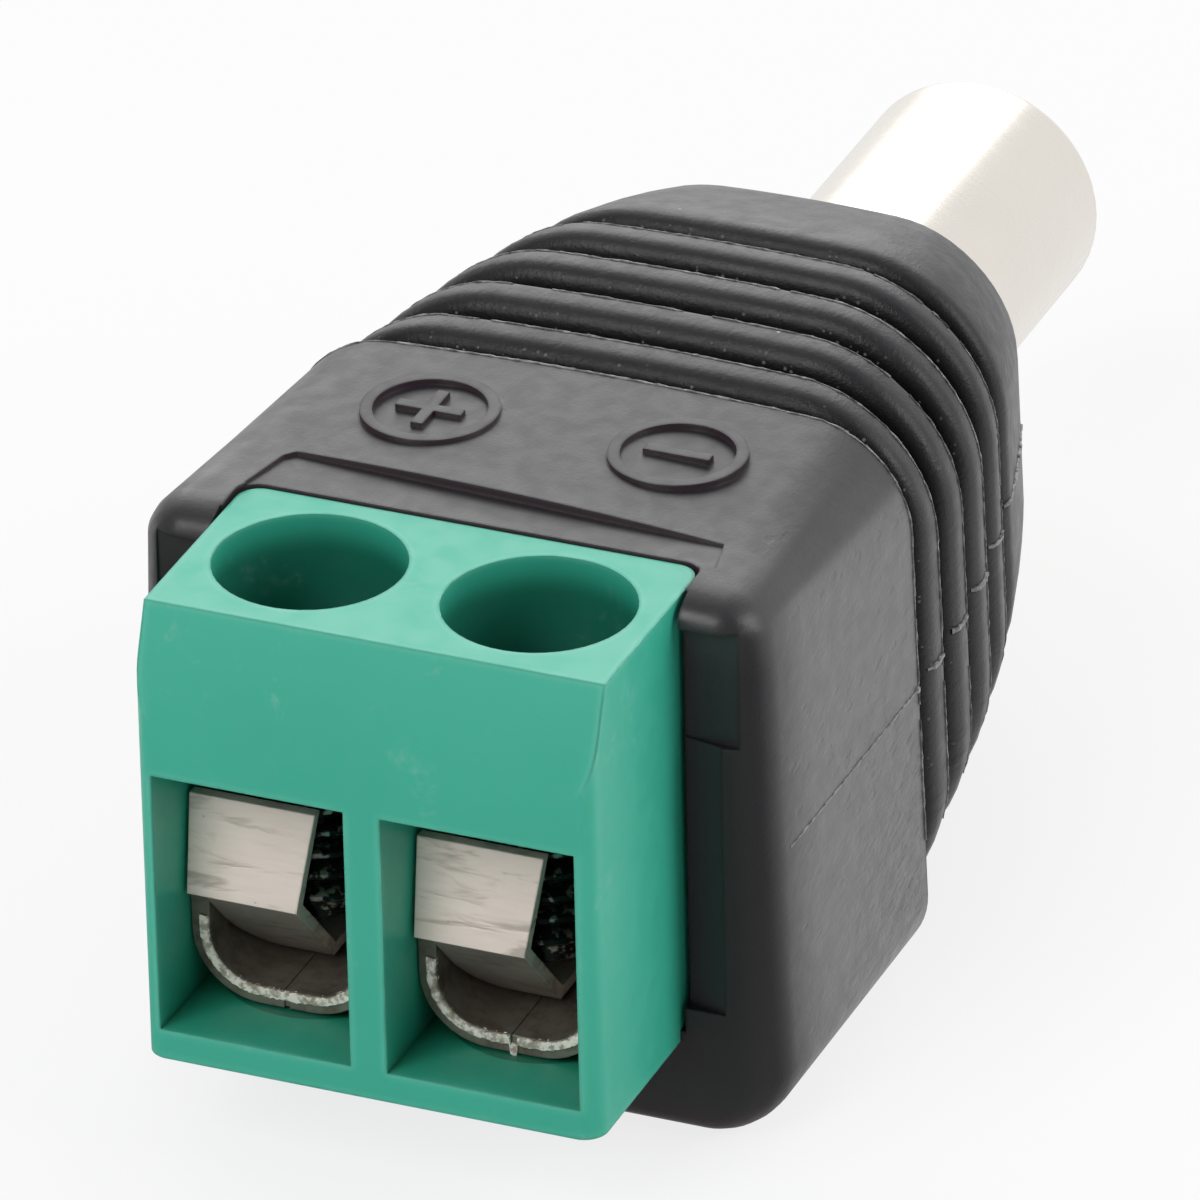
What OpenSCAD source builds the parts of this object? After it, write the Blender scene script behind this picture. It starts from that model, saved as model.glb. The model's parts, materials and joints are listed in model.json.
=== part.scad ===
// Two-pole screw terminal moulded onto a 5.5 x 2.1 mm DC barrel plug.
// X runs across the two poles, +Y points to the barrel tip, and +Z is up from the surface it rests on.
// Sub-parts are drawn from the front of the terminal block (y = 0) and its underside (z = 0).

/* [Overall] */
// Length from the front of the terminal block to the barrel tip
overall_l = 33.9; // [33:0.1:35]
// Width of the moulded body at the height of the barrel
body_w = 14; // [13.8:0.1:14.6]
// Height of the moulded body
body_h = 12.6; // [12.4:0.1:13]
// How far the terminal block stands out in front of the body
block_out = 4.3; // [4:0.1:4.6]

/* [Ribbed grip] */
// Distance from the block's front to the first groove
grip_start = 12.5; // [12:0.1:13]
// Distance from the block's front to the rear face of the end collar
collar_end = 24; // [23.6:0.1:24.6]
// Number of ribs between the body and the end collar
rib_count = 4; // [3:1:4]
// Rear edge of the first rib, from the first groove
first_rib = 1.5; // [1.4:0.05:1.6]
// Spacing of the ribs
rib_pitch = 1.7; // [1.65:0.05:1.75]
// Length of one rib along the body
rib_l = 0.97; // [0.9:0.01:1]
// Depth of the grooves
groove_depth = 0.9; // [0.6:0.05:1]

/* [Terminal block] */
// Distance between the two poles
pitch = 5; // [5:0.01:5.08]
// Width of the block
block_w = 10; // [10:0.1:10.2]
// Height of the block
block_h = 10.1; // [10:0.1:10.2]
// Depth of the block
block_d = 7.4; // [7.3:0.1:7.6]
// Width of a wire window
window_w = 4.2; // [4.1:0.05:4.25]
// Height of a wire window
window_h = 5.9; // [5.8:0.1:6]
// Thickness of the block's floor under the windows
floor_t = 0.67; // [0.6:0.01:0.75]
// Diameter of the screwdriver holes
screw_hole_d = 4; // [4:0.05:4.1]
// Distance from the block's front to the screw axes
screw_y = 3.45; // [3.45:0.05:3.55]

/* [Clamps] */
// Nominal thread diameter of the clamp screws
thread_d = 3; // [2.9:0.05:3]
// Thread pitch of the clamp screws
thread_pitch = 0.5; // [0.45:0.05:0.5]
// Depth of the thread form
thread_depth = 0.27; // [0.2:0.01:0.3]
// Diameter of the screw heads
head_d = 3.86; // [3.8:0.02:3.9]
// Height of the screw heads
head_h = 1.5; // [1.3:0.1:1.5]
// Sheet thickness of the clamp cages
cage_t = 0.4; // [0.35:0.05:0.45]
// Sheet thickness of the wire guards
guard_t = 0.25; // [0.2:0.05:0.3]

/* [Barrel plug] */
// Outside diameter of the barrel
barrel_d = 5.5; // [5.5:0.01:5.55]
// Wall of the barrel sleeve
sleeve_t = 0.4; // [0.35:0.05:0.45]
// Bore of the centre contact
contact_bore = 2.1; // [2.05:0.05:2.15]
// Outside diameter of the centre contact
contact_d = 3; // [2.9:0.1:3.1]
// Diameter of the flange that anchors the barrel in the body
flange_d = 7.4; // [7.2:0.1:7.6]
// Diameter of the barrel's neck inside the body
neck_d = 5.1; // [5:0.1:5.2]
// Diameter of the internal leads
lead_d = 0.8; // [0.7:0.05:0.8]

/* [Polarity marks] */
// Outside diameter of the raised rings
mark_d = 2.9; // [2.8:0.1:3]
// Width of the raised lines
mark_line = 0.26; // [0.22:0.02:0.3]
// Length of the plus and minus strokes
mark_stroke = 1.45; // [1.4:0.05:1.5]
// Distance from the block's front to the centre of the marks
mark_y = 9.8; // [9.7:0.1:9.9]
// Height of the raised lines
mark_h = 0.06; // [0.04:0.01:0.12]
// Distance between the centres of the two marks
mark_spread = 5.47; // [5.4:0.01:5.5]
// How far the pair of marks sits to the right of the middle
mark_shift = 0.15; // [0.1:0.05:0.2]

/* [Hidden] */
$fn = 48;
eps = 0.01;
cut_lap = 0.1;

// Heights, measured from the underside of the block
lip_step = 0.05;
block_z = 2.25;
axis_z = body_h/2 - block_z;
body_top = body_h - block_z;
window_top = floor_t + window_h;
lip_floor = block_h + lip_step;

// Clearances and overlaps
lip_gap = 0.07;
thread_gap = 0.03;
cage_gap = 0.05;
guard_gap = 0.06;

// Block
front_wall = 1.2;
rear_wall = 1;
slant_drop = 2.3;
slant_z = block_h - slant_drop;
slant_back = 0.87;
corner_r = 0.5;
rebate_l = 1.45;
rebate_h = 0.6;
cavity_top = 7.3;
hole_lap = 1;

// Lip of the body over the block's rebate
lip_front = block_d - rebate_l - cut_lap;
lip_rear_left = block_d - 0.02;
lip_rear_right = block_d - 0.55;
lip_slant = 0.3;
lip_corner = 0.2;

// Cage, across its own pole
cage_w = window_w - 2*cage_gap;
cage_y = 1.6;
cage_rear = block_d - rear_wall;
cage_bend = 1.5;
plate_top = 6.2;
plate_t = 0.8;
plate_y = 2.15;
tail_w = 1.4;
tail_end = 9.4;
seam_w = 0.12;

// Wire guard, at its closed position
guard_top = [1.62, 5.35];
guard_fold = [1.32, 3.15];
guard_toe = [3.1, 1.22];
guard_end = 5.8;
fold_outside = [0.12, -0.14];
fold_inside = [0.32, 0.06];
flap_left = -window_w/2 + 0.09;
flap_right = [0.75, 0.4];

// Screw, at its closed position
head_z = plate_top + 0.05;
tip_z = 2.47;
tip_chamfer = 0.4;
head_edge = 0.2;
crest = [0.4, 0.6];
drive_w = 0.6;
drive_depth = 0.8;
drive_turn = [35, 118];

// Barrel plug core
tip_y = overall_l;
tip_round = 0.35;
flange_set = 3;
flange_y = collar_end - flange_set;
flange_t = 0.7;
tag_t = 0.4;
bush_t = 0.7;
bush_neck_d = 3.6;
stem_d = 2;
stem_y = 17.5;
socket_y = 25;
nose_t = 0.5;
nose_set = 0.3;
nose_hole_d = 2.6;
bore_floor = 1;
slit_w = 0.3;
strap_w = 1.6;
strap_x = 2.6;
strap_y = 16.8;

// Body skin
corner_steps = 13;
top_steps = 10;
side_front_round = 1;
top_front_round = 0.5;
front_corner_r = 1;
grip_corner_r = 2.2;
foot_corner_r = 1.7;
foot_share = 1.2;
corner_far = 0.58;
corner_gain = 0.18;
corner_reach = 2.2;
side_taper = 0.0216;
side_power = 1.9;
top_taper = 0.00103;
rib_spread = 0.03;
least_corner_r = 0.1;
top_fall = 0.05;
crown = 0.25;
side_draft = 0.03;
rib_round = 0.5;
collar_round = 0.55;
wall_lean = 0.04;
collar_edge = 0.12;

// Relief of the wings and slot beside the block
relief_low = 0.8;
relief_top = 9.6;
relief_step = 7;
relief_w = 1;
relief_wide_w = 1.35;
relief_depth = 0.3;
relief_edge = 0.08;
relief_wide_edge = 0.2;
slot_w = 0.12;
slot_depth = 0.6;
slot_low = 0.25;

pole_x = [-pitch/2, pitch/2];

// Puts what is drawn from the block's front and underside where it stands in the whole part
module place() {
    translate([0, -overall_l/2, block_z]) children();
}

// Turns +Z to +Y on the axis of the barrel, starting at y
module on_axis(y) {
    translate([0, y, axis_z]) rotate([-90, 0, 0]) children();
}

// ---- Body -------------------------------------------------------------------------------------

// Half width and half height of the grip, s behind the first groove
function grip_w(s) = body_w/2 - side_taper*pow(s, side_power);
function grip_h(s) = body_h/2 - top_fall - top_taper*pow(s, 3);
// Corner radius of the grip's section as a share of its half height
function corner_share(s) = corner_far - corner_gain*exp(-s/corner_reach);
// Rear edge of a rib; the ribs stand a little further apart towards the barrel
function rib_rear(k) = first_rib + rib_pitch*k + rib_spread*k*k;

// One ring of the skin: a rounded rectangle at y, with a crowned top and drafted sides.
// size is [half width, half height above, half height below], corner is [radius above, radius below]
// and inset draws the outline in by [sideways, upwards].
function ring(y, size, corner, inset) = [
    for (q = [0:3], k = [0:corner_steps + (q == 0 ? top_steps - 1 : 0)])
        let (
            a = 90*(q + min(1, k/corner_steps)),
            above = q < 2,
            across = q == 0 || q == 3 ? 1 : -1,
            w = size[0] - inset[0],
            h = (above ? size[1] : size[2]) - inset[1],
            r = max(least_corner_r, (above ? corner[0] : corner[1]) - max(inset)),
            over_top = 2*(w - r)*max(0, k - corner_steps)/top_steps,
            x = across*(w - r) + r*cos(a) - over_top,
            z = (above ? 1 : -1)*(h - r) + r*sin(a),
            drop = above ? crown*pow(x/w, 2)*z/h : 0
        )
        [x*(1 - side_draft*z/w), y, axis_z + z - drop]
];

function grip_ring(s, inset) =
    let (h = grip_h(s), r = h*corner_share(s))
    ring(grip_start + s, [grip_w(s), h, h], [r, r*foot_share], [inset, inset]);

// A rib with a rounded shoulder in front and a sharp edge behind
function rib_rings(rear) = [
    grip_ring(rear - rib_l, groove_depth),
    for (a = [0:22.5:90])
        grip_ring(rear - rib_l + wall_lean + rib_round*(1 - cos(a)), rib_round*(1 - sin(a))),
    grip_ring(rear, wall_lean/2),
    grip_ring(rear + wall_lean, groove_depth)
];

// The block's end of the body, from its rounded front to the edge of the first groove
block_end_size = [body_w/2, body_h/2, body_h/2];
function block_end_rings() = [
    for (a = [0:18:90])
        ring(
            block_out + side_front_round*(1 - cos(a)), block_end_size, [front_corner_r, foot_corner_r],
            (1 - sin(a))*[side_front_round, top_front_round]
        ),
    ring(
        (block_out + grip_start)/2, block_end_size, [(front_corner_r + grip_corner_r)/2, foot_corner_r],
        [0, 0]
    ),
    ring(grip_start, block_end_size - [0, top_fall, 0], [grip_corner_r, foot_corner_r], [0, 0])
];

function skin_rings() = [
    each block_end_rings(),
    grip_ring(wall_lean, groove_depth),
    for (k = [0:rib_count - 1])
        each rib_rings(rib_rear(k)),
    each collar_rings(rib_rear(rib_count - 1) + rib_pitch - rib_l, collar_end - grip_start)
];

// The end collar: rounded shoulder, full flank and a small edge radius at the rear
function collar_rings(front, rear) = [
    grip_ring(front, groove_depth),
    for (a = [0:22.5:90])
        grip_ring(front + wall_lean + collar_round*(1 - cos(a)), collar_round*(1 - sin(a))),
    for (t = [0.45, 0.7, 0.9])
        grip_ring(front + t*(rear - front), 0),
    grip_ring(rear - collar_edge/2, collar_edge/5),
    grip_ring(rear, collar_edge)
];

module skin() {
    rings = skin_rings();
    last = len(rings) - 1;
    ring_points = len(rings[0]);
    points = [for (r = rings) each r];
    sides = [
        for (j = [0:last - 1], i = [0:ring_points - 1])
            let (
                k = (i + 1) % ring_points,
                a = j*ring_points,
                b = a + ring_points
            )
            each [[a + i, a + k, b + k], [a + i, b + k, b + i]]
    ];
    front_cap = [for (i = [ring_points - 1:-1:0]) i];
    rear_cap = [for (i = [0:ring_points - 1]) last*ring_points + i];
    polyhedron(points, concat([front_cap], sides, [rear_cap]));
}

// Raised ring with a minus stroke, or a plus, in it
module polarity_mark(x, is_plus) {
    sunk = 0.4;
    translate([x, mark_y, body_top - sunk]) linear_extrude(sunk + mark_h) {
        difference() {
            circle(d = mark_d);
            circle(d = mark_d - 2*mark_line);
        }
        square([mark_stroke, mark_line], center = true);
        if (is_plus)
            square([mark_line, mark_stroke], center = true);
    }
}

// The body is open above the block as far back as the lip, with a fine gap round the block's top
module block_opening() {
    gap_depth = 0.3;
    translate([0, 0, block_h - gap_depth]) linear_extrude(body_h)
        rounded_square(block_w + 2*lip_gap, block_d - rebate_l + lip_gap, corner_r);
}

// Shallow step in the top of the body over the rear of the block, longer at the left
module lip_recess() {
    outline = [
        [-block_w/2, lip_front],
        [-block_w/2 + lip_slant, lip_rear_left - lip_corner],
        [-block_w/2 + lip_slant + lip_corner, lip_rear_left],
        [block_w/2 + lip_corner/2, lip_rear_right],
        [block_w/2 + lip_slant, lip_front]
    ];
    translate([0, 0, lip_floor]) linear_extrude(1) polygon(outline);
}

// Sloping relief of the wings beside the block, with a wider stretch near the top
module wing_relief() {
    inner = block_w/2 - cut_lap;
    front = block_out - cut_lap;
    for (band = [[relief_low, relief_w, relief_edge], [relief_step, relief_wide_w, relief_wide_edge]])
        for (side = [0, 1])
            mirror([side, 0, 0]) translate([0, 0, band[0]]) linear_extrude(relief_top - band[0])
                polygon([
                    [inner, front], [block_w/2 + band[1], front],
                    [block_w/2 + band[1], block_out + band[2]], [inner, block_out + relief_depth]
                ]);
}

// Narrow slots that part the wings from the sides of the block
module wing_slots() {
    for (side = [0, 1])
        mirror([side, 0, 0]) translate([block_w/2 - slot_w, block_out - cut_lap, slot_low])
            cube([2*slot_w, slot_depth + cut_lap, body_h]);
}

module overmould_body() {
    color("#2a2b2d") place() difference() {
        union() {
            skin();
            polarity_mark(mark_shift - mark_spread/2, true);
            polarity_mark(mark_shift + mark_spread/2, false);
        }
        block_envelope();
        block_opening();
        lip_recess();
        wing_relief();
        wing_slots();
        core_envelope();
        for (x = pole_x)
            tail(x);
        lead_path(positive_route);
        lead_path(negative_route);
    }
}

// ---- Terminal block ---------------------------------------------------------------------------

// Side profile: upright front, slanted brow and a rebate that the body's lip grips
module block_profile() {
    polygon([
        [0, 0], [block_d, 0], [block_d, block_h - rebate_h], [block_d - rebate_l, block_h - rebate_h],
        [block_d - rebate_l, block_h], [slant_back, block_h], [0, slant_z]
    ]);
}

module rounded_square(w, d, r) {
    translate([-w/2, r]) square([w, d - 2*r]);
    translate([-w/2 + r, 0]) square([w - 2*r, d]);
    for (x = [-w/2 + r, w/2 - r], y = [r, d - r])
        translate([x, y]) circle(r);
}

module block_envelope() {
    intersection() {
        translate([-block_w/2, 0, 0]) rotate([90, 0, 90]) linear_extrude(block_w) block_profile();
        union() {
            linear_extrude(block_h - rebate_h) rounded_square(block_w, block_d, corner_r);
            linear_extrude(block_h) rounded_square(block_w, block_d - rebate_l, corner_r);
        }
    }
}

module block_housing() {
    color("#46a38b") place() difference() {
        block_envelope();
        for (x = pole_x) {
            translate([x - window_w/2, -1, floor_t]) cube([window_w, 1 + cage_rear, window_h]);
            translate([x - window_w/2, front_wall, floor_t])
                cube([window_w, cage_rear - front_wall, cavity_top - floor_t]);
            translate([x, screw_y, cavity_top - hole_lap]) cylinder(h = block_h, d = screw_hole_d);
            tail(x);
        }
    }
}

// ---- Clamps -----------------------------------------------------------------------------------

// Upright tube section with a rounded underside, w wide, from z0 to z1
module trough_section(w, z0, z1, r) {
    translate([-w/2, z0 + r]) square([w, z1 - z0 - r]);
    translate([-w/2 + r, z0]) square([w - 2*r, r + eps]);
    for (x = [-w/2 + r, w/2 - r])
        translate([x, z0 + r]) circle(r);
}

// Draws a section in X and Z, and runs it from y0 to y1
module run_y(y0, y1) {
    translate([0, y1, 0]) rotate([90, 0, 0]) linear_extrude(y1 - y0) children();
}

// Solder tail that leaves through the rear wall of the block
module tail(x) {
    translate([x - tail_w/2, cage_rear - cage_t, floor_t + cage_gap])
        cube([tail_w, tail_end - cage_rear + cage_t, cage_t]);
}

// A strip bent to a trough below, with a threaded plate across its top and a seam along its underside
module clamp_cage(x) {
    base = floor_t + cage_gap;
    translate([x, 0, 0]) difference() {
        run_y(cage_y, cage_rear) trough_section(cage_w, base, plate_top, cage_bend);
        run_y(cage_y - 1, cage_rear + 1)
            trough_section(cage_w - 2*cage_t, base + cage_t, plate_top - plate_t, cage_bend - cage_t);
        translate([-cage_w, cage_y - 1, guard_fold[1] - 2*guard_gap])
            cube([2*cage_w, plate_y - cage_y + 1, plate_top]);
        translate([0, screw_y, plate_top - plate_t - cut_lap]) cylinder(h = block_h, d = thread_d);
        translate([-seam_w/2, cage_y - 1, base - 1]) cube([seam_w, cage_rear - cage_y, 1 + cage_t + eps]);
    }
    tail(x);
}

// Side profile of the guard: leaning flap, fold, and an arm that lies in the trough
module guard_profile() {
    polygon([
        guard_top, guard_fold, guard_fold + fold_outside,
        guard_toe, [guard_end, guard_toe[1]], [guard_end, guard_toe[1] + guard_t],
        guard_toe + [fold_outside[0], guard_t], guard_fold + fold_inside,
        guard_top + [guard_t, 0]
    ]);
}

module wire_guard(x) {
    base = floor_t + cage_gap + cage_t;
    inner = cage_w - 2*cage_t - 2*guard_gap;
    translate([x, 0, 0]) intersection() {
        translate([-cage_w/2, 0, 0]) rotate([90, 0, 90]) linear_extrude(cage_w) guard_profile();
        union() {
            // The flap stands in front of the cage and is wider than the arm
            run_y(1, plate_y - guard_gap)
                polygon([
                    [flap_left, guard_fold[1] - 2*eps], [flap_right[1], guard_fold[1] - 2*eps],
                    [flap_right[0], guard_top[1]], [flap_left, guard_top[1]]
                ]);
            run_y(1, cage_rear) intersection() {
                trough_section(inner, base + guard_gap, guard_top[1], cage_bend - cage_t - guard_gap);
                translate([-cage_w/2, 0]) square([cage_w/2 + flap_right[1], guard_top[1] - 1]);
            }
        }
    }
}

// Half section of a screw: slotted head, and a thread drawn as one ring per turn
module screw_profile() {
    r = thread_d/2 - thread_gap;
    root = r - thread_depth;
    thread_bottom = tip_z + tip_chamfer;
    turns = floor((head_z - thread_bottom - head_edge)/thread_pitch);
    polygon(concat(
        [[0, tip_z], [root - 0.3*tip_chamfer, tip_z], [root, thread_bottom]],
        [
            for (i = [0:turns - 1])
                each [
                    [r, thread_bottom + (i + crest[0])*thread_pitch],
                    [r, thread_bottom + (i + crest[1])*thread_pitch],
                    [root, thread_bottom + (i + 1)*thread_pitch]
                ]
        ],
        [
            [root, head_z], [head_d/2, head_z], [head_d/2, head_z + head_h - head_edge],
            [head_d/2 - head_edge, head_z + head_h], [0, head_z + head_h]
        ]
    ));
}

module clamp_screw(x) {
    translate([x, screw_y, 0]) difference() {
        rotate_extrude() screw_profile();
        rotate([0, 0, x < 0 ? drive_turn[0] : drive_turn[1]])
            translate([-drive_w/2, -head_d, head_z + head_h - drive_depth])
                cube([drive_w, 2*head_d, 1]);
    }
}

module clamp_cage_left() { color("#b9b4ab") place() clamp_cage(pole_x[0]); }
module clamp_cage_right() { color("#b9b4ab") place() clamp_cage(pole_x[1]); }
module wire_guard_left() { color("#c9bdb8") place() wire_guard(pole_x[0]); }
module wire_guard_right() { color("#c9bdb8") place() wire_guard(pole_x[1]); }
module clamp_screw_left() { color("#a9adb0") place() clamp_screw(pole_x[0]); }
module clamp_screw_right() { color("#a9adb0") place() clamp_screw(pole_x[1]); }

// ---- Barrel plug ------------------------------------------------------------------------------

module barrel_sleeve() {
    r = barrel_d/2;
    inner = r - sleeve_t;
    color("#e6e3df") place() {
        on_axis(collar_end) rotate_extrude($fn = 96) {
            len = tip_y - collar_end;
            square_ring(inner, r, 0, len - tip_round);
            // Rolled rim of the tip
            intersection() {
                square_ring(inner, r, len - tip_round - eps, len);
                union() {
                    translate([r - tip_round, len - tip_round]) circle(tip_round);
                    square_ring(inner - tip_round, r - tip_round, 0, len);
                }
            }
        }
        on_axis(flange_y) rotate_extrude($fn = 96) {
            square_ring(inner, neck_d/2, 0, collar_end - flange_y + eps);
            square_ring(inner, flange_d/2, 0, flange_t);
        }
    }
}

// Half section of a ring from radius r0 to r1 and from z0 to z1
module square_ring(r0, r1, z0, z1) {
    translate([r0, z0]) square([r1 - r0, z1 - z0]);
}

module strap() {
    translate([strap_x, strap_y, axis_z - strap_w/2]) cube([tag_t, flange_y - strap_y, strap_w]);
}

module sleeve_tag() {
    color("#c8c3ba") place() {
        on_axis(flange_y - tag_t) rotate_extrude() square_ring(bush_neck_d/2, flange_d/2, 0, tag_t);
        strap();
    }
}

module rear_bush() {
    color("#1d1e20") place() difference() {
        on_axis(flange_y - tag_t - bush_t) rotate_extrude() {
            square_ring(stem_d/2, flange_d/2, 0, bush_t);
            square_ring(stem_d/2, bush_neck_d/2, bush_t - eps, bush_t + tag_t);
        }
        strap();
    }
}

module inner_insulator() {
    len = tip_y - nose_set - flange_y;
    r = barrel_d/2 - sleeve_t;
    color("#17181a") place() on_axis(flange_y) rotate_extrude() {
        square_ring(stem_d/2, r, 0, socket_y - flange_y);
        square_ring(contact_d/2, r, socket_y - flange_y - eps, len - nose_t + eps);
        square_ring(nose_hole_d/2, r, len - nose_t, len);
    }
}

module centre_contact() {
    socket_l = tip_y - nose_set - nose_t - socket_y;
    color("#d8d2c4") place() difference() {
        union() {
            on_axis(stem_y) cylinder(h = socket_y - stem_y + eps, d = stem_d);
            on_axis(socket_y) cylinder(h = socket_l, d = contact_d);
        }
        on_axis(socket_y + bore_floor) cylinder(h = socket_l, d = contact_bore);
        // Two slits make four spring tines
        for (turn = [0, 90])
            on_axis(socket_y + socket_l/2) rotate([0, 0, turn + 45])
                translate([-slit_w/2, -contact_d, 0]) cube([slit_w, 2*contact_d, socket_l]);
    }
}

// What the barrel plug and its contacts take out of the body
module core_envelope() {
    on_axis(flange_y - tag_t - bush_t)
        cylinder(h = flange_t + tag_t + bush_t, d = flange_d);
    on_axis(flange_y) cylinder(h = tip_y, d = neck_d, $fn = 96);
    on_axis(stem_y) cylinder(h = flange_y - stem_y, d = stem_d);
    strap();
}

// ---- Leads ------------------------------------------------------------------------------------

tail_top = floor_t + cage_gap + cage_t;
bend_swell = 0.1;
lead_z = tail_top + lead_d/2;
tail_lap = 1.6;
strap_lap = 2.4;
lead_bend_y = 11.5;
stem_bend_y = 15.5;
strap_bend_y = 14.4;
positive_route = [
    [pole_x[0], cage_rear + tail_lap, lead_z], [pole_x[0], lead_bend_y, lead_z],
    [0, stem_bend_y, axis_z], [0, stem_y, axis_z]
];
negative_route = [
    [pole_x[1], cage_rear + tail_lap, lead_z], [pole_x[1], lead_bend_y, lead_z],
    [strap_x - lead_d/2, strap_bend_y, axis_z], [strap_x - lead_d/2, strap_y + strap_lap, axis_z]
];

// A round wire through the points of a route
module lead_path(route) {
    for (i = [0:len(route) - 2]) {
        d = route[i + 1] - route[i];
        l = norm(d);
        translate(route[i]) rotate([0, acos(d[2]/l), atan2(d[1], d[0])])
            cylinder(h = l, d = lead_d, $fn = 24);
        if (i > 0)
            translate(route[i]) sphere(d = lead_d + bend_swell, $fn = 24);
    }
}

module positive_lead() { color("#c07a4a") place() lead_path(positive_route); }
module negative_lead() { color("#c07a4a") place() lead_path(negative_route); }

overmould_body();
block_housing();
clamp_cage_left();
clamp_cage_right();
wire_guard_left();
wire_guard_right();
clamp_screw_left();
clamp_screw_right();
barrel_sleeve();
sleeve_tag();
rear_bush();
inner_insulator();
centre_contact();
positive_lead();
negative_lead();
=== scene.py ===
import itertools
import json
import math
import random
from types import SimpleNamespace

import bpy
from mathutils import Matrix, Vector
from mathutils.bvhtree import BVHTree


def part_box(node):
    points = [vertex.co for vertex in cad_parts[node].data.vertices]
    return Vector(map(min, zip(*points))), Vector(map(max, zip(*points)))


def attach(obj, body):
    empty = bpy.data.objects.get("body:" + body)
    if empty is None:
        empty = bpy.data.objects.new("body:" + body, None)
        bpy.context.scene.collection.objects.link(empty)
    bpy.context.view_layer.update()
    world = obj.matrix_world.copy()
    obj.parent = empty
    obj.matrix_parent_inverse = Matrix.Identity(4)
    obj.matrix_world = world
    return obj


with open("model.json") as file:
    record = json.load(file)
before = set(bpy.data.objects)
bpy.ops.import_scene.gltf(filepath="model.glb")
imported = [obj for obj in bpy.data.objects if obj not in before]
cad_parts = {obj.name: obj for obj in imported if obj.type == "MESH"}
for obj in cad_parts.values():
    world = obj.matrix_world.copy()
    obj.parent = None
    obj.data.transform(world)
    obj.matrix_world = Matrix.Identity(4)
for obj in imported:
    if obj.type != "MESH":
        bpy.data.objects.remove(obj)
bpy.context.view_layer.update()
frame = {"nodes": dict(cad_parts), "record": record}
nodes = frame["nodes"]
MM = 0.001

# ---- Camera ------------------------------------------------------------------------------------

VIEW_AZIMUTH = 23.327     # degrees, to the right of the wire windows
VIEW_ELEVATION = 29.014   # degrees, above the table
VIEW_ROLL = -1.364        # degrees
VIEW_DISTANCE = 326.31 * MM
VIEW_LENS = 477.25        # millimetres
SENSOR = 36               # millimetres
AIM = Vector((0.627, -6.091, 8.225)) * MM


def direction(azimuth, elevation):
    """Points from the part to a place seen at these angles, in degrees; azimuth 0 is in front."""
    a = math.radians(azimuth)
    e = math.radians(elevation)
    return Vector((math.sin(a) * math.cos(e), -math.cos(a) * math.cos(e), math.sin(e)))


def make_camera():
    """The camera, at the photograph's viewing angle."""
    back = direction(VIEW_AZIMUTH, VIEW_ELEVATION)
    side = direction(VIEW_AZIMUTH + 90, 0)
    up = back.cross(side)
    r = math.radians(VIEW_ROLL)
    right = math.cos(r) * side + math.sin(r) * up
    top = -math.sin(r) * side + math.cos(r) * up
    data = bpy.data.cameras.new("camera")
    data.lens = VIEW_LENS
    data.sensor_width = SENSOR
    data.clip_start = 0.01
    data.clip_end = 10
    cam = bpy.data.objects.new("camera", data)
    bpy.context.scene.collection.objects.link(cam)
    turn = Matrix((right, top, back)).transposed().to_4x4()
    cam.matrix_world = Matrix.Translation(AIM + back * VIEW_DISTANCE) @ turn
    bpy.context.scene.camera = cam


# ---- Materials ---------------------------------------------------------------------------------

SHADER_RAYS = 2           # rays per look for hollows and for rounded edges
HIGHLIGHT_COS = (0.75, 0.98)   # cosine of the turn by rounding where an edge gets its full painted highlight, and none
HIGHLIGHT_OPEN = (0.5, 0.8)    # openness at which an edge starts to get the painted highlight, and gets it in full
SPOT_CORE = 0.6           # share of a spot's radius within which it is full


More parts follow.
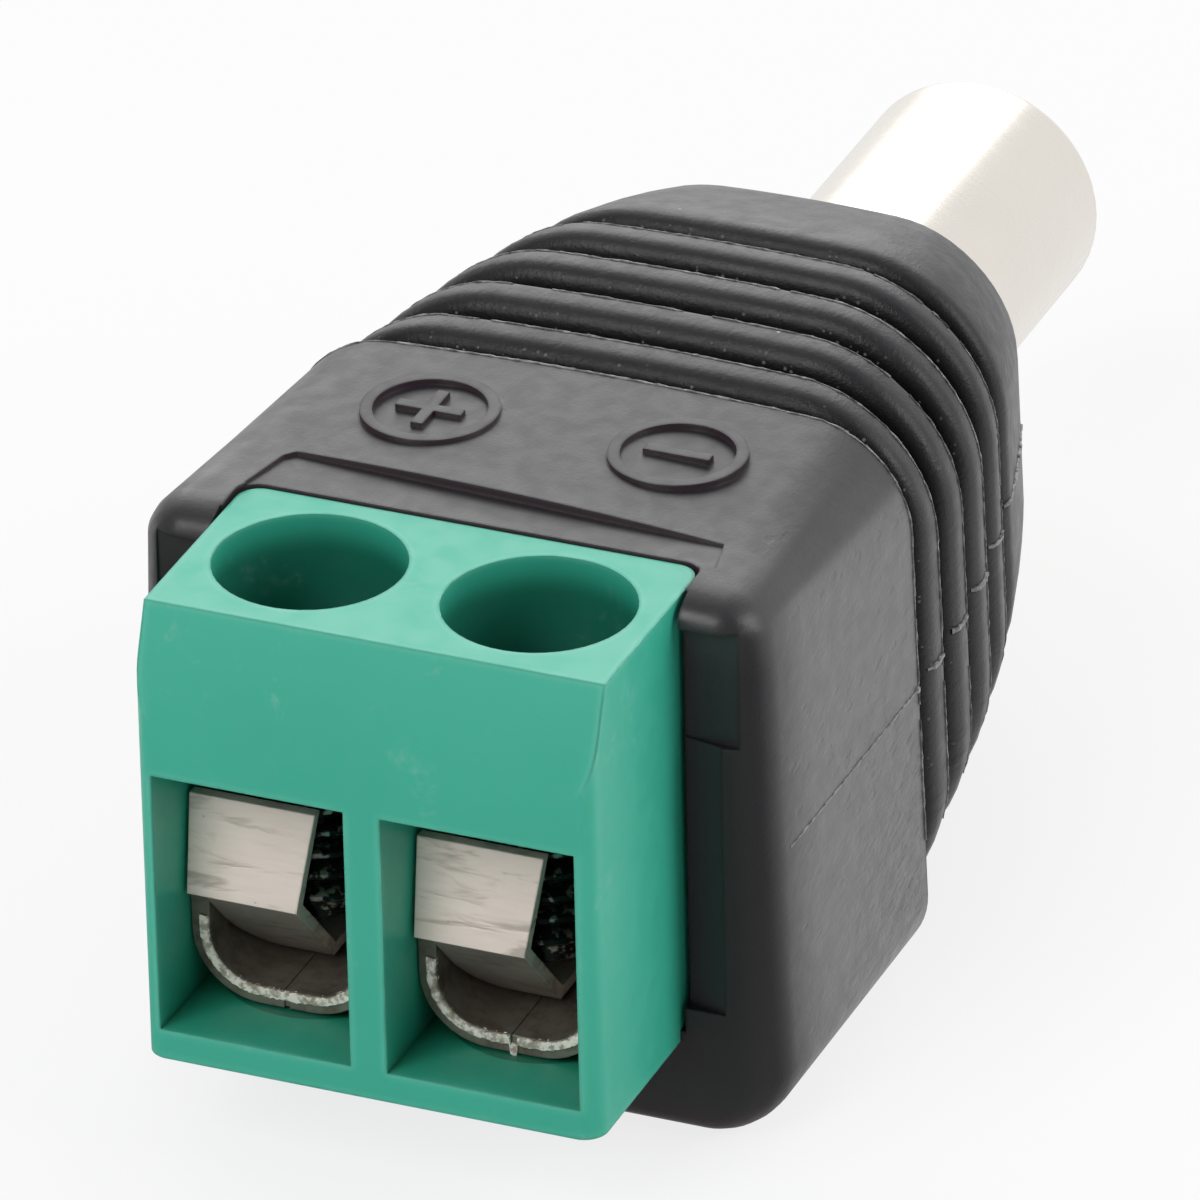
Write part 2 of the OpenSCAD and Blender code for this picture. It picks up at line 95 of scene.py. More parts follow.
class Paint:
    """A procedural material, drawn in millimetres of the part's own space."""

    def __init__(self, name):
        """self.ahead and self.up say how far the surface faces +Y and +Z, from -1 to 1."""
        self.material = bpy.data.materials.new(name)
        self.material.use_nodes = True
        self.tree = self.material.node_tree
        self.tree.nodes.clear()
        self.out = self.tree.nodes.new("ShaderNodeOutputMaterial")
        place = self.tree.nodes.new("ShaderNodeTexCoord")
        self.at = self.vector("MULTIPLY", place.outputs["Object"], (1 / MM,) * 3)
        self.x, self.y, self.z = self.split(self.at)
        self.ahead, self.up = self.split(place.outputs["Normal"])[1:]

    def put(self, socket, value):
        """Links a node's output to the socket, or sets a plain value or colour on it."""
        if isinstance(value, bpy.types.NodeSocket):
            self.tree.links.new(value, socket)
        elif isinstance(value, tuple) and len(value) == 3 and socket.type == "RGBA":
            socket.default_value = (*value, 1)
        else:
            socket.default_value = value

    def vector(self, operation, a, b=(0, 0, 0), out="Vector"):
        n = self.tree.nodes.new("ShaderNodeVectorMath")
        n.operation = operation
        self.put(n.inputs[0], a)
        self.put(n.inputs[1], b)
        return n.outputs[out]

    def split(self, vector):
        n = self.tree.nodes.new("ShaderNodeSeparateXYZ")
        self.put(n.inputs[0], vector)
        return n.outputs[0], n.outputs[1], n.outputs[2]

    def math(self, operation, a, b=0.0):
        n = self.tree.nodes.new("ShaderNodeMath")
        n.operation = operation
        self.put(n.inputs[0], a)
        self.put(n.inputs[1], b)
        return n.outputs[0]

    def add(self, *terms):
        total = terms[0]
        for t in terms[1:]:
            total = self.math("ADD", total, t)
        return total

    def times(self, *terms):
        total = terms[0]
        for t in terms[1:]:
            total = self.math("MULTIPLY", total, t)
        return total

    def ramp(self, value, low, high, start=0.0, end=1.0):
        """Goes softly from start to end while value goes from low to high."""
        n = self.tree.nodes.new("ShaderNodeMapRange")
        n.interpolation_type = "SMOOTHSTEP"
        for socket, v in zip(n.inputs, (value, low, high, start, end)):
            self.put(socket, v)
        return n.outputs[0]

    def noise(self, size, detail=2.0, rough=0.5, stretch=(1, 1, 1), warp=0.0):
        """Soft noise from 0 to 1, with features of that size in millimetres."""
        n = self.tree.nodes.new("ShaderNodeTexNoise")
        self.put(n.inputs["Vector"], self.vector("DIVIDE", self.at, stretch))
        n.inputs["Scale"].default_value = 1 / size
        n.inputs["Detail"].default_value = detail
        n.inputs["Roughness"].default_value = rough
        n.inputs["Distortion"].default_value = warp
        return n.outputs[0]

    def specks(self, size, radius, share, stretch=(1, 1, 1)):
        """1 in small spots: a share of the cells of that size gets one, of that radius in cells."""
        n = self.tree.nodes.new("ShaderNodeTexVoronoi")
        self.put(n.inputs["Vector"], self.vector("DIVIDE", self.at, stretch))
        n.inputs["Scale"].default_value = 1 / size
        chance = self.split(n.outputs["Color"])[0]
        spot = self.ramp(n.outputs["Distance"], radius * SPOT_CORE, radius, 1, 0)
        return self.times(spot, self.math("LESS_THAN", chance, share))

    def hollow(self, reach):
        """1 in the open, down to 0 deep in grooves and corners within reach in millimetres."""
        n = self.tree.nodes.new("ShaderNodeAmbientOcclusion")
        n.samples = SHADER_RAYS
        n.inputs["Distance"].default_value = reach * MM
        return n.outputs["AO"]

    def rounded(self, radius):
        """The surface's direction as if its edges had that radius in millimetres."""
        n = self.tree.nodes.new("ShaderNodeBevel")
        n.samples = SHADER_RAYS
        n.inputs["Radius"].default_value = radius * MM
        return n.outputs[0]

    def edge_highlights(self, reach, openness):
        """Mask for painted edge highlights: 1 on outer edges, down to 0 away from them by reach in
        millimetres or where it isn't open.
        """
        flat = self.tree.nodes.new("ShaderNodeNewGeometry").outputs["Normal"]
        turn = self.vector("DOT_PRODUCT", self.rounded(reach), flat, out="Value")
        return self.times(self.ramp(turn, *HIGHLIGHT_COS, 1, 0), self.ramp(openness, *HIGHLIGHT_OPEN))

    def away(self, x, y):
        """Distance in millimetres from the nearer of the upright axes through (x, y) and (-x, y)."""
        n = self.tree.nodes.new("ShaderNodeCombineXYZ")
        self.put(n.inputs[0], self.math("SUBTRACT", self.math("ABSOLUTE", self.x), x))
        self.put(n.inputs[1], self.math("SUBTRACT", self.y, y))
        return self.vector("LENGTH", n.outputs[0], out="Value")

    def mix(self, share, a, b):
        """Colour a where share is 0, and b where it is 1."""
        n = self.tree.nodes.new("ShaderNodeMix")
        n.data_type = "RGBA"
        self.put(n.inputs[0], share)
        self.put(n.inputs[6], a)
        self.put(n.inputs[7], b)
        return n.outputs[2]

    def finish(self, color, rough, height=0.0, metal=0.0, level=0.5, edge=0.05):
        """The finished material; height is its relief and edge the radius of its edges, in mm."""
        relief = self.tree.nodes.new("ShaderNodeBump")
        relief.inputs["Distance"].default_value = MM
        self.put(relief.inputs["Height"], height)
        self.put(relief.inputs["Normal"], self.rounded(edge))
        skin = self.tree.nodes.new("ShaderNodeBsdfPrincipled")
        self.put(skin.inputs["Base Color"], color)
        self.put(skin.inputs["Roughness"], rough)
        self.put(skin.inputs["Metallic"], metal)
        self.put(skin.inputs["Specular IOR Level"], level)
        self.put(skin.inputs["Normal"], relief.outputs[0])
        self.tree.links.new(skin.outputs[0], self.out.inputs["Surface"])
        return self.material


# Regions of the body, in millimetres; BEHIND means behind the body's front.
BODY_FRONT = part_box("overmould_body")[0].y / MM
RIBS_BEHIND = 8.0         # where the ribs start
RIBS_BLEND = (-0.15, 0.45)
SIDES = (5.5, 6.6)        # |x| between which the top or front turns into a side
SIDES_BEHIND = (0.25, 2.85)
TOP = (10.5, 12.0)        # z between which a side turns into the top
WRINKLES_BEHIND = (1.65, 7.65)
WRINKLES_UNDER = (8, 3)   # z between which the wrinkles grow
GLARE_BEHIND = (1.65, 4.15)
GRAIN = (1, 2.2, 1)       # stretch of the moulding's grain, which runs along the plug


def behind_front(bounds):
    """The places along Y that lie that far behind the body's front."""
    return [BODY_FRONT + b for b in bounds]


def body_regions(p):
    """Shares from 0 to 1: how far each point belongs to each region of the moulded body."""
    ribs = p.ramp(p.y, *behind_front(RIBS_BEHIND + b for b in RIBS_BLEND))
    shoulder = p.times(p.ramp(p.up, 0.3, 0.6), p.ramp(p.up, 0.75, 0.95, 1, 0))
    side = p.times(p.ramp(p.math("ABSOLUTE", p.x), *SIDES), p.ramp(p.y, *behind_front(SIDES_BEHIND)))
    side = p.times(side, p.ramp(shoulder, 0, 1, 1, 0.2), p.ramp(ribs, 0, 1, 1, 0.18))
    wrinkled = p.times(side, p.ramp(p.y, *behind_front(WRINKLES_BEHIND)), p.ramp(p.z, *WRINKLES_UNDER))
    openness = p.hollow(1.0)
    return SimpleNamespace(
        ribs=ribs,
        side=side,
        top=p.ramp(p.z, *TOP),
        # front: mask for the paler tone painted on faces turned to the front
        front=p.times(p.ramp(p.ahead, -0.9, -0.5, 1, 0), p.ramp(ribs, 0, 1, 1, 0)),
        # rib_front: mask for painted shade on the ribs' faces that turn to the front
        rib_front=p.times(p.ramp(p.ahead, -0.8, -0.3, 1, 0), ribs),
        wrinkled=wrinkled,
        # groove: mask of the hollows, for painted shade, dust and a lower sheen there
        groove=p.ramp(openness, 0.4, 0.9, 1, 0),
        # rib_edge: mask for the painted highlight on the ribs' edges
        rib_edge=p.times(p.edge_highlights(0.14, openness), ribs),
    )


def body_relief(p, on):
    """Leathery grain, pits, blisters and wrinkles of the moulded body, in millimetres."""
    rugged = p.math("MAXIMUM", on.side, on.ribs)
    leather = p.times(p.noise(0.12, 3, 0.7, GRAIN), p.ramp(rugged, 0, 1, 0.006, 0.018))
    pits = p.times(p.specks(0.24, 0.42, 0.25, GRAIN), on.side, -0.014)
    blistered = p.add(p.times(on.side, 0.15), on.wrinkled)
    blisters = p.times(p.specks(0.36, 0.5, 0.3, GRAIN), blistered, 0.04)
    wrinkles = p.times(p.noise(0.30, 3, 0.6, GRAIN), on.wrinkled, 0.12)
    return p.add(leather, pits, blisters, wrinkles, p.times(p.noise(0.06, 1), 0.003))


def body_tone(p, on):
    """Black with dust and lint, and painted light: paler sides and front faces, highlights on the ribs'
    edges, shade on the ribs' fronts, and brown shade in the grooves.
    """
    tone = p.mix(p.noise(1.4, 3), (0.0135, 0.0132, 0.0155), (0.0195, 0.0188, 0.0220))
    # Painted sheen: the sides, and less so faces turned to the front, are painted paler, standing in
    # for the light they catch.
    tone = p.mix(p.times(on.side, 0.85), tone, (0.076, 0.076, 0.075))
    tone = p.mix(on.front, tone, (0.027, 0.0265, 0.028))
    # Painted shade in the hollows: dark brown in the ribs' grooves, a purple-brown tint in other
    # hollows, less on faces that look up.
    groove_shade_and_tint = p.mix(on.ribs, (0.055, 0.026, 0.038), (0.010, 0.0075, 0.0065))
    groove_shade_share = p.ramp(on.ribs, 0, 1, p.ramp(p.up, 0.3, 0.7, 0.7, 0.15), 0.97)
    tone = p.mix(p.times(on.groove, groove_shade_share), tone, groove_shade_and_tint)
    # Painted highlight along the ribs' crests and edges.
    tone = p.mix(p.times(on.rib_edge, 0.7), tone, (0.15, 0.147, 0.143))
    # Painted shade on the faces of the ribs that turn to the front.
    tone = p.mix(p.times(on.rib_front, 0.4), tone, (0.008, 0.008, 0.009))
    dust = p.times(p.specks(0.15, 0.3, 0.22), p.ramp(on.groove, 0.5, 0.9), on.ribs, 0.7)
    lint = p.specks(0.9, 0.05, 0.12)
    return p.mix(p.math("MAXIMUM", dust, lint), tone, (0.34, 0.31, 0.28))


def soft_black():
    """Soft black moulding: leathery on its sides, wrinkled towards its foot, dusty and painted with
    shade in the grooves.
    """
    p = Paint("soft_black")
    on = body_regions(p)
    rough = p.ramp(p.noise(0.5, 3), 0.3, 0.7, 0.36, 0.44)
    top_level = p.ramp(p.y, *behind_front(GLARE_BEHIND), 0.62, 0.46)
    level = p.add(p.ramp(on.top, 0, 1, 0.34, top_level), p.times(on.side, 0.7))
    level = p.times(level, p.ramp(p.times(on.groove, on.ribs), 0, 1, 1, 0.2))
    return p.finish(body_tone(p, on), rough, body_relief(p, on), level=level, edge=0.1)


def flash_black(name, worn_and_lit):
    """Thin edges of the same moulding, painted paler than the body and paler still in patches: partly
    worn flash, partly a painted highlight along the thin edge.
    """
    p = Paint(name)
    # Paler patches: part wear, part painted highlight.
    tone = p.mix(p.ramp(p.noise(0.2, 2), 0.35, 0.65), (0.10, 0.10, 0.098), worn_and_lit)
    return p.finish(tone, 0.42, p.times(p.noise(0.05, 1), 0.004), level=1.1, edge=0.01)


SCREW_HOLE = 2.1          # radius of the screwdriver holes and a little more, in millimetres
HOLE_SHADE = (0.9, 0.05)  # depths in millimetres at which a hole's wall has full painted shade, and none


def terminal_green():
    """Satin green moulding with faint smudges on its faces, dust in its corners, painted shade in its
    hollows and screw holes, and painted highlights on its edges.
    """
    p = Paint("terminal_green")
    tone = p.mix(p.noise(3.5, 3), (0.036, 0.43, 0.295), (0.044, 0.47, 0.33))
    openness = p.hollow(2.5)
    deep = p.ramp(openness, 0.15, 0.85, 1, 0)
    # Painted shade deep in the hollows, stronger on floors than on walls.
    shade = p.times(deep, p.ramp(p.up, 0.2, 0.8, 0.25, 0.95))
    tone = p.mix(shade, tone, (0.008, 0.16, 0.08))
    low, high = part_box("clamp_screw_right")
    hole = (low + high) / 2 / MM
    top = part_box("block_housing")[1].z / MM
    # Painted shade down the walls of the screwdriver holes.
    near = p.math("LESS_THAN", p.away(hole.x, hole.y), SCREW_HOLE)
    in_hole = p.times(near, p.ramp(p.z, *(top - depth for depth in HOLE_SHADE), 1, 0))
    tone = p.mix(p.times(in_hole, 0.8), tone, (0.006, 0.11, 0.07))
    # Painted highlight along the outer edges.
    tone = p.mix(p.times(p.edge_highlights(0.3, openness), 0.5), tone, (0.22, 0.68, 0.55))
    smudge = p.times(p.ramp(p.noise(1.5, 4, 0.65), 0.58, 0.75), p.ramp(p.noise(0.25, 3), 0.4, 0.65))
    tone = p.mix(p.times(smudge, 0.14), tone, (0.62, 0.80, 0.74))
    dirt = p.times(p.specks(0.3, 0.16, 0.2), p.ramp(deep, 0.2, 0.7, 0.05, 1))
    tone = p.mix(p.times(dirt, 0.6), tone, (0.05, 0.12, 0.09))
    height = p.add(p.times(p.noise(0.10, 2), 0.0015), p.times(p.noise(2.5, 2), 0.02))
    rough = p.ramp(p.add(p.noise(0.6, 3), p.times(smudge, 0.3)), 0.3, 0.8, 0.36, 0.5)
    return p.finish(tone, rough, height, edge=0.12)


def tinned_cage():
    """Tin-plated strip with brown stains, and brown and dull inside, where painted shade darkens it."""
    p = Paint("tinned_cage")
    stain = p.ramp(p.noise(0.5, 4, 0.6), 0.35, 0.7)
    tone = p.mix(stain, (0.36, 0.325, 0.28), (0.19, 0.155, 0.12))
    # Painted shade in the hollows, browner than the plating.
    inside = p.ramp(p.hollow(1.5), 0.2, 0.8, 1, 0)
    tone = p.mix(p.times(inside, 0.5), tone, (0.22, 0.18, 0.15))
    height = p.add(p.times(p.noise(0.15, 3, 0.6, (1, 4, 1)), 0.008), p.times(p.noise(0.8, 2), 0.02))
    return p.finish(tone, p.ramp(stain, 0, 1, 0.38, 0.52), height, metal=0.75, edge=0.04)


def raw_edge():
    """Bright, torn metal of a sheared edge."""
    p = Paint("raw_edge")
    torn = p.noise(0.22, 3, 0.6)
    tone = p.mix(p.ramp(torn, 0.38, 0.58), (0.42, 0.37, 0.30), (0.97, 0.92, 0.84))
    return p.finish(tone, p.ramp(torn, 0.3, 0.7, 0.35, 0.5), p.times(torn, 0.03), metal=0.1, edge=0.03)


def guard_strip():
    """Nickel-plated strip, rolled along X, with faint creases that are painted darker as shade, and
    painted shade on its undersides.
    """
    p = Paint("guard_strip")
    rolled = p.noise(0.14, 3, 0.6, (7, 1, 1))
    crease = p.ramp(p.noise(0.6, 3, 0.6, (3, 1, 0.6), 0.5), 0.5, 0.68)
    tone = p.mix(rolled, (0.87, 0.74, 0.665), (0.98, 0.875, 0.79))
    # Painted shade along the creases.
    tone = p.mix(p.times(crease, 0.6), tone, (0.36, 0.31, 0.27))
    # Painted shade on the faces that turn down.
    underside = p.ramp(p.up, -0.5, -0.15, 0.85, 0)
    tone = p.mix(underside, tone, (0.10, 0.093, 0.075))
    pits = p.specks(0.3, 0.12, 0.12)
    tone = p.mix(p.times(pits, 0.5), tone, (0.34, 0.29, 0.26))
    height = p.add(p.times(rolled, 0.004), p.times(crease, -0.010), p.times(p.noise(1.2, 1), 0.03))
    rough = p.ramp(p.noise(0.4, 3), 0.3, 0.7, 0.36, 0.48)
    return p.finish(tone, rough, height, metal=0.2, edge=0.07)


def screw_steel():
    """Oiled steel, painted dark in the thread as shade and bright on the crests as highlights."""
    p = Paint("screw_steel")
    # Painted highlights on the crests of the thread, painted shade in its roots.
    crest = p.times(p.ramp(p.hollow(0.35), 0.45, 0.95), p.ramp(p.noise(0.2, 2), 0.5, 0.62))
    tone = p.mix(crest, (0.02, 0.024, 0.022), (0.50, 0.48, 0.43))
    height = p.times(p.noise(0.12, 3), 0.006)
    return p.finish(tone, p.ramp(p.noise(0.3, 2), 0.3, 0.7, 0.22, 0.38), height, metal=0.9, edge=0.03)


def nickel_barrel():
    """Satin nickel with very fine turning lines round it and a few handling marks."""
    p = Paint("nickel_barrel")
    turned = p.noise(0.06, 2, 0.6, (40, 1, 40))
    tone = p.mix(p.noise(2.2, 3), (0.72, 0.69, 0.63), (0.78, 0.735, 0.68))
    marks = p.ramp(p.noise(0.9, 4, 0.7, (1, 3, 1)), 0.6, 0.75)
    height = p.times(turned, 0.0012)
    rough = p.add(p.ramp(turned, 0.3, 0.7, 0.22, 0.28), p.times(marks, 0.05))
    return p.finish(tone, rough, height, metal=1, edge=0.08)


def core_black():
    """Hard black insulator, turned smooth, with flow lines."""
    p = Paint("core_black")
    flow = p.noise(0.5, 3, 0.5, (1, 5, 1))
    tone = p.mix(flow, (0.012, 0.012, 0.013), (0.028, 0.028, 0.030))
    height = p.times(p.noise(0.1, 2), 0.002)
    return p.finish(tone, p.ramp(flow, 0.3, 0.7, 0.28, 0.42), height, edge=0.05)


def centre_spring():
    """Plated brass spring contact."""
    p = Paint("centre_spring")
    tone = p.mix(p.noise(0.8, 3), (0.72, 0.60, 0.34), (0.80, 0.72, 0.50))
    height = p.times(p.noise(0.07, 2, 0.5, (30, 1, 30)), 0.002)
    return p.finish(tone, p.ramp(p.noise(0.3, 2), 0.3, 0.7, 0.2, 0.34), height, metal=1, edge=0.04)


def lead_copper():
    """Copper wire with a thin, patchy coat of tin."""
    p = Paint("lead_copper")
    tinned = p.ramp(p.noise(0.6, 3), 0.45, 0.6)
    tone = p.mix(tinned, (0.72, 0.36, 0.20), (0.66, 0.62, 0.57))
    height = p.times(p.noise(0.09, 2, 0.5, (1, 8, 1)), 0.006)
    return p.finish(tone, p.ramp(tinned, 0, 1, 0.24, 0.38), height, metal=1, edge=0.03)


# ---- Finish of the CAD nodes -------------------------------------------------------------------

JOIN = 0.002 * MM         # corners closer than this are one corner
SHARP = math.radians(32)  # edges sharper than this stay edges


def smooth(node):
    """Shades the node as curved faces that meet at edges."""
    mesh = node.data
    for name in ("custom_normal", "sharp_edge", "sharp_face"):
        if name in mesh.attributes:
            mesh.attributes.remove(mesh.attributes[name])
    mesh.polygons.foreach_set("use_smooth", [True] * len(mesh.polygons))
    node.modifiers.new("weld", "WELD").merge_threshold = JOIN
    split = node.modifiers.new("edges", "EDGE_SPLIT")
    split.split_angle = SHARP
    split.use_edge_sharp = False


def finish_nodes(paints):
    """Gives each CAD node the paint of its slot in the record."""
    for part in frame["record"]["subparts"]:
        node = nodes[part["node"]]
        node.data.materials.clear()
        node.data.materials.append(paints[part["material_slot"]])
        smooth(node)


# ---- Added pieces ------------------------------------------------------------------------------

chance = random.Random(7)


def surface_of(name):
    """A finder of the points where a ray meets that CAD node, at rest."""
    mesh = nodes[name].data
    mesh.calc_loop_triangles()
    corners = [v.co.copy() for v in mesh.vertices]
    return BVHTree.FromPolygons(corners, [tuple(t.vertices) for t in mesh.loop_triangles])


def add_piece(name, body, paint, slot, points, faces):
    """A surface piece that rides on a body of the record."""
    mesh = bpy.data.meshes.new(name)
    mesh.from_pydata(points, [], faces)
    mesh.materials.append(paint)
    piece = bpy.data.objects.new(name, mesh)
    bpy.context.scene.collection.objects.link(piece)
    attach(piece, body)


def bead(route, outward, across, width, height, low=0.3, crest=0.35):
    """A ragged ridge along a route on a surface: (points, faces) of its flanks and flat crest.

    Its width and height waver between the share low and the whole, and its foot is sunk into the
    surface; crest is the crest's share of the width."""
    points, faces = [], []
    for i, at in enumerate(route):
        half = across(at) * width * chance.uniform(low, 1) / 2
        out = outward(at)
        foot = at - out * height
        top = at + out * height * chance.uniform(low, 1)
        points += [foot - half, top - half * crest, top + half * crest, foot + half]
        if i:
            faces += [(k - 4, k - 3, k + 1, k) for k in range(4 * i, 4 * i + 3)]
    return points, faces


def block(low, high):
    """(points, faces) of a plain box."""
    points = [Vector(corner) for corner in itertools.product(*zip(low, high))]
    return points, [(0, 1, 3, 2), (4, 6, 7, 5), (0, 4, 5, 1), (2, 3, 7, 6), (0, 2, 6, 4), (1, 5, 7, 3)]


def join(parts):
    """One (points, faces) of many."""
    points, faces = [], []
    for p, f in parts:
        faces += [tuple(i + len(points) for i in face) for face in f]
        points += p
    return points, faces


def axis_height():
    """Height of the barrel's axis."""
    low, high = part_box("barrel_sleeve")
    return (low.z + high.z) / 2


PARTING_RISE = 0.25 * MM  # height of the parting line over the barrel's axis
PARTING_START = 1.2 * MM  # behind the body's front
PARTING_END = 0.2 * MM    # before its back
PARTING_WIDTH = 0.09 * MM
PARTING_HEIGHT = 0.03 * MM
PARTING_CREST = 0.6       # share of its width that is flat
PARTING_STEP = 0.08 * MM
PARTING_FEWEST = 4        # points that a stretch of it needs
PARTING_SWELL = 2.2       # how much coarser it is across the ribs


def parting_line(paint, side, name):
    """The fine ridge that the mould's two halves leave along a side of the body and its ribs."""
    body = surface_of("overmould_body")
    low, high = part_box("overmould_body")
    z = axis_height() + PARTING_RISE
    runs, run = [], []
    y = low.y + PARTING_START
    while y < high.y - PARTING_END:
        at = body.ray_cast(Vector((side * 2 * high.x, y, z)), Vector((-side, 0, 0)))[0]
        if run and abs(at.x - run[-1].x) > PARTING_STEP:
            runs.append(run)
            run = []
        run.append(at)
        y += PARTING_STEP

    def swell(at):
        return PARTING_SWELL if at.y > low.y + RIBS_BEHIND * MM else 1

    def outward(at):
        return Vector((side * swell(at), 0, 0))

    def across(at):
        return Vector((0, 0, swell(at)))

    ridges = [
        bead(r, outward, across, PARTING_WIDTH, PARTING_HEIGHT, crest=PARTING_CREST)
        for r in runs + [run] if len(r) >= PARTING_FEWEST
    ]
    add_piece(name, "plug", paint, "soft_black", *join(ridges))


FLASH_WIDTH = 0.05 * MM
FLASH_HEIGHT = 0.035 * MM
FLASH_ARC = range(-30, 211)  # degrees round the barrel's axis, from the right over the top
FLASH_START = 0.4         # chance at each degree that a patch starts
FLASH_BREAK = 0.035       # chance at each degree that it breaks off
GROOVE_DROP = 0.3 * MM    # a fall of the top that is deeper than this is a groove
SCAN = 0.02 * MM          # step of the scans over a surface


def rear_edges(body):
    """Where along Y the top of the body falls into a groove, less two steps of the scan."""
    low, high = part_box("overmould_body")
    edges, last, y = [], None, low.y + RIBS_BEHIND * MM
    while y < high.y - SCAN:
        z = body.ray_cast(Vector((0, y, 2 * high.z)), Vector((0, 0, -1)))[0].z
        if last is not None and last - z > GROOVE_DROP:
            edges.append(y - 2 * SCAN)
        last = z
        y += SCAN
    return edges


def rib_flash(paint):
    """Thin torn flash on the sharp rear edges of the ribs, in patches, inside the part's box."""
    body = surface_of("overmould_body")
    centre = axis_height()
    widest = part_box("overmould_body")[1].x
    reach = 2 * widest
    runs = []
    for y in rear_edges(body):
        run = []
        for degrees in FLASH_ARC:
            a = math.radians(degrees)
            spoke = Vector((math.cos(a), 0, math.sin(a)))
            start = Vector((0, y, centre)) + spoke * reach
            if chance.random() < FLASH_BREAK:
                runs.append(run)
                run = []
            elif run or chance.random() < FLASH_START:
                at = body.ray_cast(start, -spoke)[0]
                if abs(at.x) < widest - FLASH_HEIGHT:
                    run.append(at)
        runs.append(run)

    def outward(at):
        return Vector((at.x, 0, at.z - centre)).normalized()

    def across(at):
        return Vector((0, 1, 0))

    ridges = [bead(r, outward, across, FLASH_WIDTH, FLASH_HEIGHT) for r in runs if len(r) > 1]
    add_piece("rib_flash", "plug", paint, "soft_black", *join(ridges))


BURR_WIDTH = 0.29 * MM
BURR_HEIGHT = 0.05 * MM
BURR_CREST = 0.7          # share of its width that is flat
BURR_LOW = 0.65           # the burr's thinnest places, as a share of its width and height
BURR_OUT = 0.45           # its middle lies this share of its width outside the trough's edge
TROUGH_EYE = 1.6 * MM     # height over the cage's underside from which its trough is scanned
TROUGH_ARC = range(172, 369, 2)  # degrees round that eye, from the left over the bottom
TROUGH_SWAY = 0.6         # degrees that a step may be off


def trough_burr(paint, side):
    """The torn bright edge that shearing left round the mouth of a cage's trough."""
    cage = surface_of("clamp_cage_" + side)
    low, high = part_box("clamp_cage_" + side)
    eye = Vector(((low.x + high.x) / 2, low.y + SCAN, low.z + TROUGH_EYE))
    route = []
    for degrees in TROUGH_ARC:
        a = math.radians(degrees + chance.uniform(-TROUGH_SWAY, TROUGH_SWAY))
        at = cage.ray_cast(eye, Vector((math.cos(a), 0, math.sin(a))))[0]
        if at and (at - eye).length < (high.x - low.x) / 2:
            route.append(Vector((at.x, low.y, at.z)))

    def outward(at):
        return Vector((0, -1, 0))

    def across(at):
        return Vector((at.x - eye.x, 0, at.z - eye.z)).normalized()

    middle = [at + across(at) * BURR_WIDTH * BURR_OUT for at in route]
    ridge = bead(middle, outward, across, BURR_WIDTH, BURR_HEIGHT, BURR_LOW, BURR_CREST)
    add_piece("trough_burr_" + side, "plug", paint, "tinned_cage", *ridge)


SEAM_HALF = 0.07 * MM     # half its width, a little over half of the gap in the solid
SEAM_NOTCH = 0.04 * MM    # the seam stays open this far behind the trough's mouth
SEAM_LENGTH = 4.4 * MM
SEAM_SINK = 0.02 * MM     # it lies this much lower than the sheet's two faces
SHEET = 0.4 * MM          # sheet thickness of the cage


def trough_seam(paint, side):
    """The closed part of the seam, where the cage's two edges meet along the trough's floor."""
    low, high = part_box("clamp_cage_" + side)
    middle = (low.x + high.x) / 2
    near = Vector((middle - SEAM_HALF, low.y + SEAM_NOTCH, low.z + SEAM_SINK))
    far = Vector((middle + SEAM_HALF, low.y + SEAM_LENGTH, low.z + SHEET - SEAM_SINK))
    add_piece("trough_seam_" + side, "plug", paint, "tinned_cage", *block(near, far))


# ---- Stage -------------------------------------------------------------------------------------

FLOOR_HALF = 0.6          # metres
FLOOR_WHITE = 0.80        # share of plain white in the floor that the camera sees
FLOOR_SHINE = (-20, -4)   # y in millimetres between which the floor starts to shine in reflections
ROOM_DARK = 0.15          # room light from the camera's side
ROOM_LIGHT = 1.0          # room light from behind the part
ROOM_FADE = (-0.5, 0.9)   # y of the directions between which the dark turns into the light
LAMP_DISTANCE = 0.6       # metres


def make_floor():
    """A pale floor, whitest to the camera, that shines in reflections only behind the part."""
    mesh = bpy.data.meshes.new("floor")
    corners = [(x * FLOOR_HALF, y * FLOOR_HALF, 0) for x, y in ((-1, -1), (1, -1), (1, 1), (-1, 1))]
    mesh.from_pydata(corners, [], [(0, 1, 2, 3)])
    floor = bpy.data.objects.new("floor", mesh)
    bpy.context.scene.collection.objects.link(floor)
    p = Paint("floor")
    n = p.tree.nodes
    paint = n.new("ShaderNodeBsdfDiffuse")
    p.put(paint.inputs["Color"], p.mix(p.noise(30, 2), (0.84, 0.84, 0.84), (0.87, 0.87, 0.87)))
    glow = n.new("ShaderNodeEmission")
    path = n.new("ShaderNodeLightPath")
    by_camera, in_gloss = path.outputs["Is Camera Ray"], path.outputs["Is Glossy Ray"]
    behind = p.ramp(p.y, *FLOOR_SHINE, ROOM_DARK, ROOM_LIGHT)
    p.put(glow.inputs["Strength"], p.math("MAXIMUM", by_camera, behind))
    mix = n.new("ShaderNodeMixShader")
    p.put(mix.inputs[0], p.math("MAXIMUM", p.times(by_camera, FLOOR_WHITE), in_gloss))
    p.tree.links.new(paint.outputs[0], mix.inputs[1])
    p.tree.links.new(glow.outputs[0], mix.inputs[2])
    p.tree.links.new(mix.outputs[0], p.out.inputs["Surface"])
    mesh.materials.append(p.material)


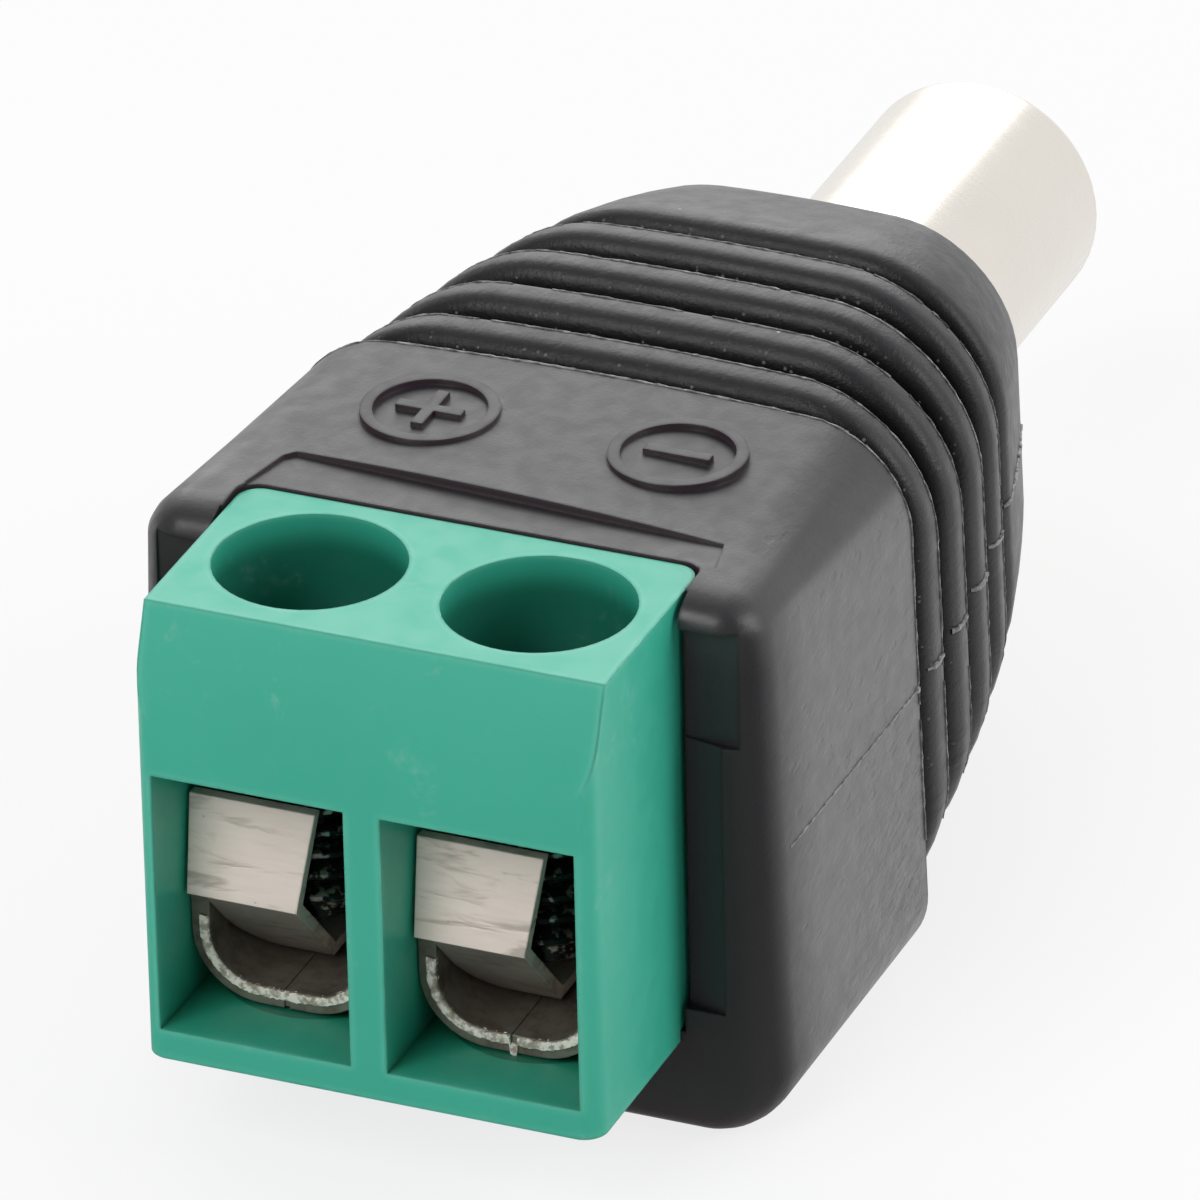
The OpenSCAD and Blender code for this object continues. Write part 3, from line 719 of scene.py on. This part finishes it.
def make_world():
    """A white room, bright behind the part and darker on the camera's side."""
    world = bpy.data.worlds.new("studio")
    bpy.context.scene.world = world
    world.use_nodes = True
    tree = world.node_tree
    tree.nodes.clear()
    n = tree.nodes
    out = n.new("ShaderNodeOutputWorld")
    back = n.new("ShaderNodeBackground")
    place = n.new("ShaderNodeTexCoord")
    split = n.new("ShaderNodeSeparateXYZ")
    fade = n.new("ShaderNodeMapRange")
    fade.interpolation_type = "SMOOTHSTEP"
    for socket, v in zip(list(fade.inputs)[1:5], (*ROOM_FADE, ROOM_DARK, ROOM_LIGHT)):
        socket.default_value = v
    path = n.new("ShaderNodeLightPath")
    white = n.new("ShaderNodeMath")
    white.operation = "MAXIMUM"
    tree.links.new(place.outputs["Generated"], split.inputs[0])
    tree.links.new(split.outputs[1], fade.inputs[0])
    tree.links.new(fade.outputs[0], white.inputs[0])
    tree.links.new(path.outputs["Is Camera Ray"], white.inputs[1])
    tree.links.new(white.outputs[0], back.inputs["Strength"])
    tree.links.new(back.outputs[0], out.inputs["Surface"])
    back.inputs["Color"].default_value = (1, 1, 1, 1)


def make_lamp(name, azimuth, elevation, size, power):
    """A round soft lamp that faces the part: its angles in degrees, size in metres, power in watts."""
    toward = direction(azimuth, elevation)
    data = bpy.data.lights.new(name, "AREA")
    data.shape = "DISK"
    data.size = size
    data.energy = power
    lamp = bpy.data.objects.new(name, data)
    bpy.context.scene.collection.objects.link(lamp)
    lamp.location = toward * LAMP_DISTANCE
    lamp.rotation_euler = toward.to_track_quat("Z", "Y").to_euler()


make_camera()
make_floor()
make_world()
make_lamp("front_lamp", -20, 45, 0.35, 1.45)
make_lamp("back_lamp", 203, 30, 0.55, 1.25)
make_lamp("fill_lamp", -21, 8, 0.5, 0.5)
make_lamp("side_lamp", 100, 30, 0.35, 1.2)

paints = {
    "soft_black": soft_black(), "terminal_green": terminal_green(), "tinned_cage": tinned_cage(),
    "guard_strip": guard_strip(), "screw_steel": screw_steel(), "nickel_barrel": nickel_barrel(),
    "core_black": core_black(), "centre_spring": centre_spring(), "lead_copper": lead_copper(),
}
finish_nodes(paints)
ridge = flash_black("ridge_black", (0.22, 0.22, 0.215))
parting_line(ridge, 1, "parting_line_right")
parting_line(ridge, -1, "parting_line_left")
rib_flash(flash_black("flash_black", (0.36, 0.355, 0.345)))
torn = raw_edge()
for side in ("left", "right"):
    trough_burr(torn, side)
    trough_seam(paints["tinned_cage"], side)

bpy.context.scene.view_settings.view_transform = "Standard"
